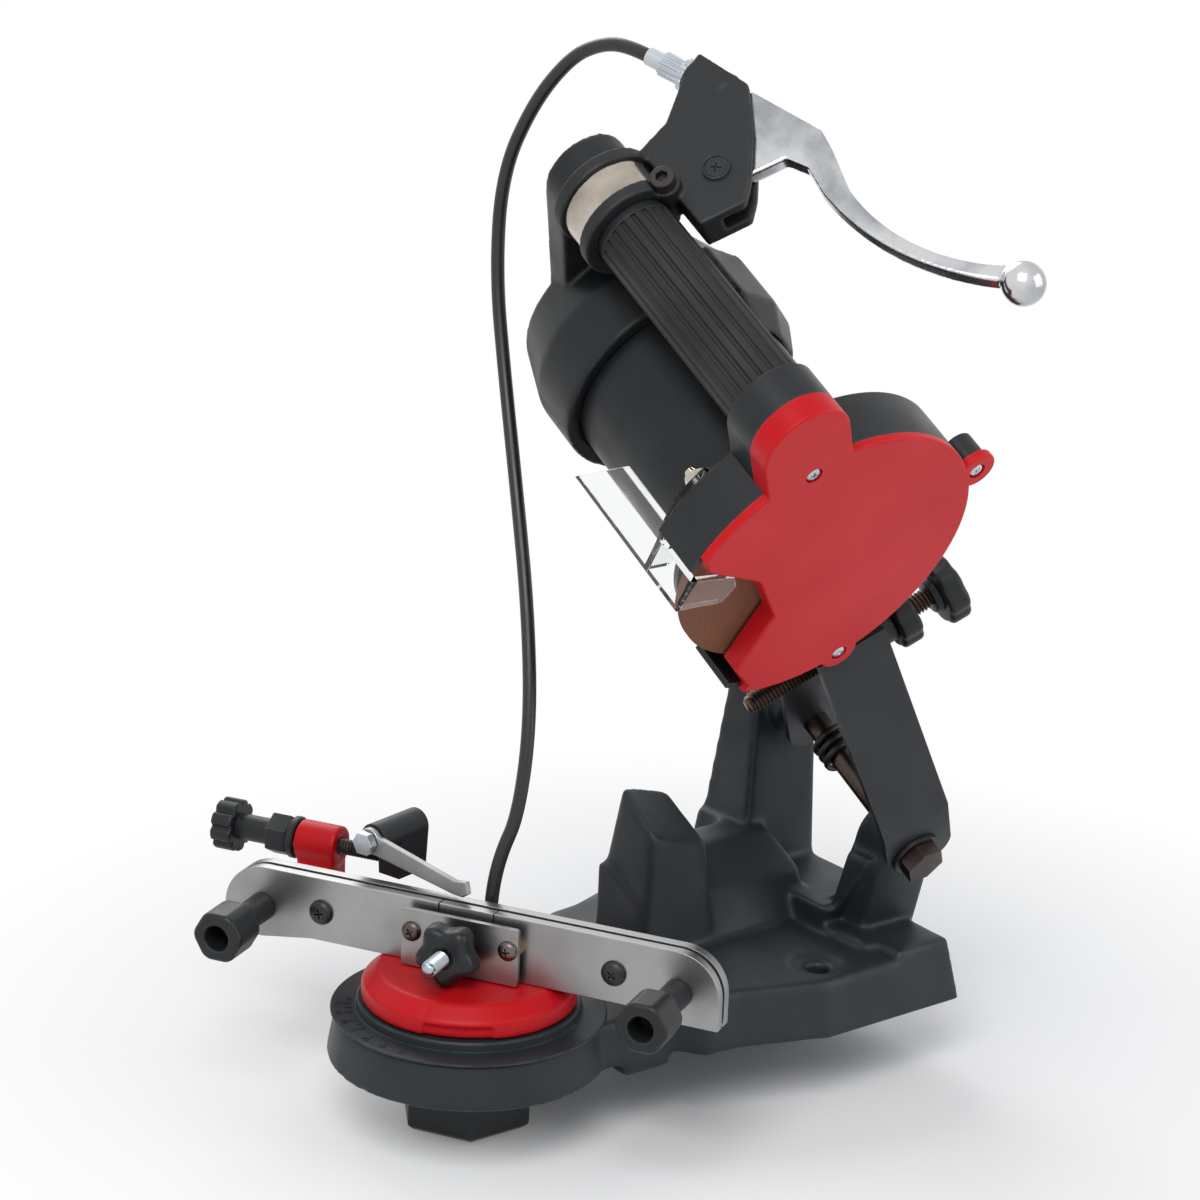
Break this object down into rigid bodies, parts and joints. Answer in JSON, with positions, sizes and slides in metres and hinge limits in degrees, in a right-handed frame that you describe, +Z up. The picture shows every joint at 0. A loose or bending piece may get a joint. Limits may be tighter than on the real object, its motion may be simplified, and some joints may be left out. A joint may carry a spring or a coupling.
{
  "type": "electric chainsaw sharpener",
  "caption": "Bench-mounted electric chain grinder: swinging wheel head with motor, grip and brake lever over a swivelling chain vise with stop pawl",
  "frame": {"origin": "midway between the two bench bolt holes, in the plane of the bench top", "axes": "+Z up, -X towards the vise and its turntable, which stand over the bench's edge, +Y to the back, where the motor is; the bench bolts lie on the Y axis"},
  "size_m": [0.2691, 0.2786, 0.3892],
  "materials": {
    "cast_dark": "satin grey paint on die casting",
    "steel_dark": "satin grey paint",
    "plastic_red": "satin",
    "plastic_dark": "satin",
    "steel_zinc": "zinc plated",
    "steel_black": "black oxide",
    "steel_brown": "browned and oiled",
    "steel_bright": "chromium plated",
    "rail_steel": "ground",
    "lever_alloy": "satin",
    "brass_plated": "turned",
    "grip_rubber": "matte",
    "cable_jacket": "satin",
    "clear_sheet": "clear",
    "abrasive": "coarse",
    "motor_steel": "plain",
    "core_plastic": "matte"
  },
  "bodies": {
    "base": {"base": "cast_dark", "swivel_ring": "cast_dark", "pivot_bolt": "steel_brown", "pivot_fasteners": "steel_zinc", "return_spring": "steel_black", "cable_upper": "cable_jacket", "cable_lower": "cable_jacket"},
    "vise": {"turntable": "plastic_red", "swivel_stud": "steel_zinc", "rear_rail": "rail_steel", "front_rail_left": "rail_steel", "front_rail_right": "rail_steel", "rail_shims": "rail_steel", "rail_fasteners": "steel_zinc", "rail_studs": "steel_zinc", "clamp_plate": "rail_steel", "plate_screws": "steel_black", "plate_spacers": "brass_plated", "cable_anchor": "steel_zinc"},
    "lock_knob": {"lock_knob": "plastic_dark"},
    "rail_knob_left": {"rail_knob_left": "plastic_dark"},
    "rail_knob_right": {"rail_knob_right": "plastic_dark"},
    "jaw": {"moving_jaw": "rail_steel", "clamp_bolt": "steel_zinc"},
    "clamp_knob": {"clamp_knob": "plastic_dark"},
    "stop_carriage": {"stop_rod": "steel_black", "stop_bracket": "cast_dark", "pawl_bolt": "steel_zinc"},
    "stop_knob": {"stop_knob": "plastic_dark"},
    "stop_lock_nut": {"stop_lock_nut": "plastic_dark"},
    "stop_pawl": {"stop_pawl": "steel_zinc"},
    "head": {"swing_arm": "steel_dark", "head_screws": "steel_zinc", "depth_bushing": "steel_black", "wheel_guard": "plastic_dark", "wheel_cover": "plastic_red", "motor_front": "plastic_dark", "bearings": "rail_steel", "stator": "motor_steel", "motor_rear": "plastic_dark", "grip_core": "core_plastic", "grip": "grip_rubber", "lever_perch": "core_plastic", "clamp_band": "steel_bright", "pinch_bolt": "steel_black", "lever_pivot": "steel_black", "visor": "clear_sheet", "visor_screw": "steel_zinc", "inlet_gland": "cable_jacket"},
    "depth_screw": {"depth_rod": "steel_brown"},
    "depth_knob": {"depth_knob": "plastic_dark"},
    "depth_lock_knob": {"depth_lock_knob": "plastic_dark"},
    "wheel": {"grinding_wheel": "abrasive", "wheel_flanges": "rail_steel", "spindle": "rail_steel", "rotor": "motor_steel"},
    "brake_lever": {"brake_lever": "lever_alloy"},
    "adjuster": {"barrel_adjuster": "steel_bright"},
    "power_switch": {"power_switch": "plastic_red"}
  },
  "joints": [
    {"name": "head_swing", "type": "hinge", "parent": "base", "child": "head", "pos_m": [0.044, -0.012, 0.07878], "axis": [0, -0.866, -0.5], "range_deg": [0, 44], "stiffness_Nm_per_rad": 2.34, "springref_deg": -63.6, "deforming": ["cable_upper", "cable_lower"]},
    {"name": "wheel_spin", "type": "hinge", "parent": "head", "child": "wheel", "pos_m": [-0.053, -0.083, 0.20176], "axis": [0, -0.866, -0.5], "continuous": true},
    {"name": "turntable_swivel", "type": "hinge", "parent": "base", "child": "vise", "pos_m": [-0.128, 0, 0.02], "axis": [0, 0, 1], "range_deg": [-64, 6], "deforming": ["cable_lower"]},
    {"name": "lock_turn", "type": "hinge", "parent": "vise", "child": "lock_knob", "pos_m": [-0.128, 0, -0.018], "axis": [0, 0, 1], "range_deg": [0, 180]},
    {"name": "post_left_turn", "type": "hinge", "parent": "vise", "child": "rail_knob_left", "pos_m": [-0.18549, 0.06246, 0.0425], "axis": [-0.8746, -0.4848, 0], "range_deg": [-180, 180]},
    {"name": "post_right_turn", "type": "hinge", "parent": "vise", "child": "rail_knob_right", "pos_m": [-0.10549, -0.08185, 0.0425], "axis": [-0.8746, -0.4848, 0], "range_deg": [-180, 180]},
    {"name": "lever_squeeze", "type": "hinge", "parent": "head", "child": "brake_lever", "pos_m": [-0.06495, -0.04315, 0.32275], "axis": [0.6428, 0.383, -0.6634], "range_deg": [0, 25], "stiffness_Nm_per_rad": 0.6, "springref_deg": -22.92},
    {"name": "jaw_close", "type": "slide", "parent": "vise", "child": "jaw", "axis": [-0.8746, -0.4848, 0], "range_m": [-0.0009, 0]},
    {"name": "clamp_turn", "type": "hinge", "parent": "jaw", "child": "clamp_knob", "pos_m": [-0.14549, -0.0097, 0.046], "axis": [-0.8746, -0.4848, 0], "range_deg": [-180, 180]},
    {"name": "stop_feed", "type": "slide", "parent": "vise", "child": "stop_carriage", "axis": [0.4848, -0.8746, 0], "range_m": [-0.008, 0]},
    {"name": "stop_turn", "type": "hinge", "parent": "stop_carriage", "child": "stop_knob", "pos_m": [-0.15751, 0.11513, 0.0569], "axis": [0.4848, -0.8746, 0], "range_deg": [-2880, 0]},
    {"name": "stop_lock_turn", "type": "hinge", "parent": "stop_carriage", "child": "stop_lock_nut", "pos_m": [-0.14636, 0.09501, 0.0569], "axis": [0.4848, -0.8746, 0], "range_deg": [-180, 180]},
    {"name": "pawl_lift", "type": "hinge", "parent": "stop_carriage", "child": "stop_pawl", "pos_m": [-0.13769, 0.04883, 0.0685], "axis": [0.9703, 0.2419, 0], "range_deg": [-70, 0]},
    {"name": "depth_feed", "type": "slide", "parent": "head", "child": "depth_screw", "axis": [0.848, -0.265, 0.4589], "range_m": [0, 0.01]},
    {"name": "depth_turn", "type": "hinge", "parent": "depth_screw", "child": "depth_knob", "pos_m": [0.00585, -0.033, 0.13716], "axis": [0.848, -0.265, 0.4589], "range_deg": [0, 2880]},
    {"name": "depth_lock_turn", "type": "hinge", "parent": "depth_screw", "child": "depth_lock_knob", "pos_m": [0.00585, -0.033, 0.13716], "axis": [0.848, -0.265, 0.4589], "range_deg": [-180, 180]},
    {"name": "adjuster_turn", "type": "hinge", "parent": "head", "child": "adjuster", "pos_m": [-0.05362, -0.0118, 0.35184], "axis": [-0.262, 0.9237, 0.2795], "range_deg": [-180, 180]},
    {"name": "switch_rock", "type": "hinge", "parent": "head", "child": "power_switch", "pos_m": [-0.0095, -0.00059, 0.24703], "axis": [0, -0.5, 0.866], "range_deg": [-14, 0]}
  ],
  "couplings": [
    {"joint": "jaw_close", "follows": "lever_squeeze", "m_per_rad": -0.00206},
    {"joint": "stop_turn", "follows": "stop_feed", "rad_per_m": 6283.2},
    {"joint": "depth_turn", "follows": "depth_feed", "rad_per_m": 5026.5}
  ]
}
